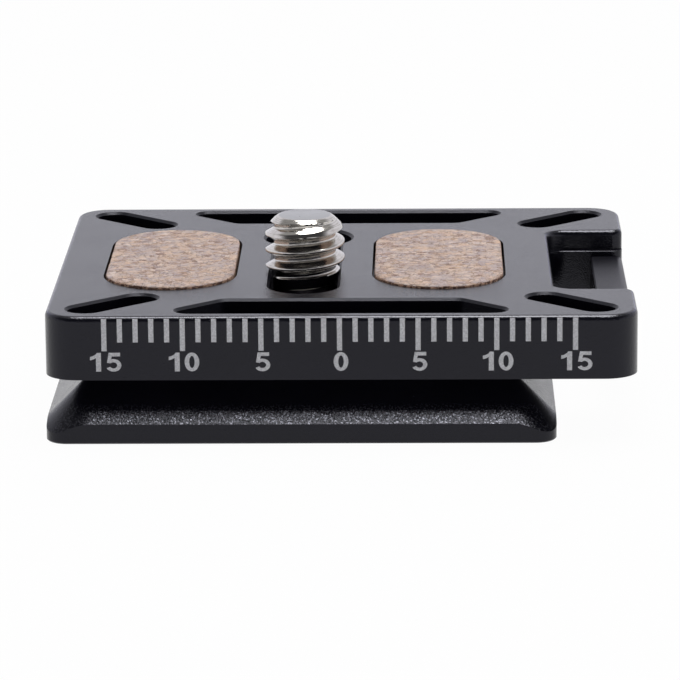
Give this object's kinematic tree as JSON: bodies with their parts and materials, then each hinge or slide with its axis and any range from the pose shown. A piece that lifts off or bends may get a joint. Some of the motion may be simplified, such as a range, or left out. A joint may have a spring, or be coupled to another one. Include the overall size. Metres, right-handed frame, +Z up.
{
  "type": "tripod quick release plate",
  "caption": "Flat metal camera plate with a dovetail foot, cork pads and a captive screw that slides in a keyhole slot.",
  "frame": {"origin": "centre of the deck in plan, on the underside of the dovetail foot", "axes": "+X along the deck towards the strap bar, -Y towards the face with the scale, +Z up through the camera screw's stud"},
  "size_m": [0.044, 0.038, 0.014],
  "materials": {
    "plate": "fine bead-blasted, black anodised",
    "cork": "granular agglomerated cork",
    "screw": "bright nickel on turned steel",
    "washer": "black nylon",
    "ring": "bent stainless wire"
  },
  "bodies": {
    "plate": {"plate_body": "plate", "cork_pad_left": "cork", "cork_pad_right": "cork"},
    "washer": {"screw_washer": "washer"},
    "screw": {"camera_screw": "screw"},
    "ring": {"d_ring": "ring"}
  },
  "joints": [
    {"name": "screw_slide", "type": "slide", "parent": "plate", "child": "washer", "axis": [0, 1, 0], "range_m": [-0.0056, 0.0113]},
    {"name": "screw_turn", "type": "hinge", "parent": "washer", "child": "screw", "pos_m": [-0.003, -0.0033, 0.008], "axis": [0, 0, 1], "continuous": true},
    {"name": "ring_fold", "type": "hinge", "parent": "screw", "child": "ring", "pos_m": [-0.003, -0.0033, 0.002], "axis": [-1, 0, 0], "range_deg": [0, 180]}
  ]
}
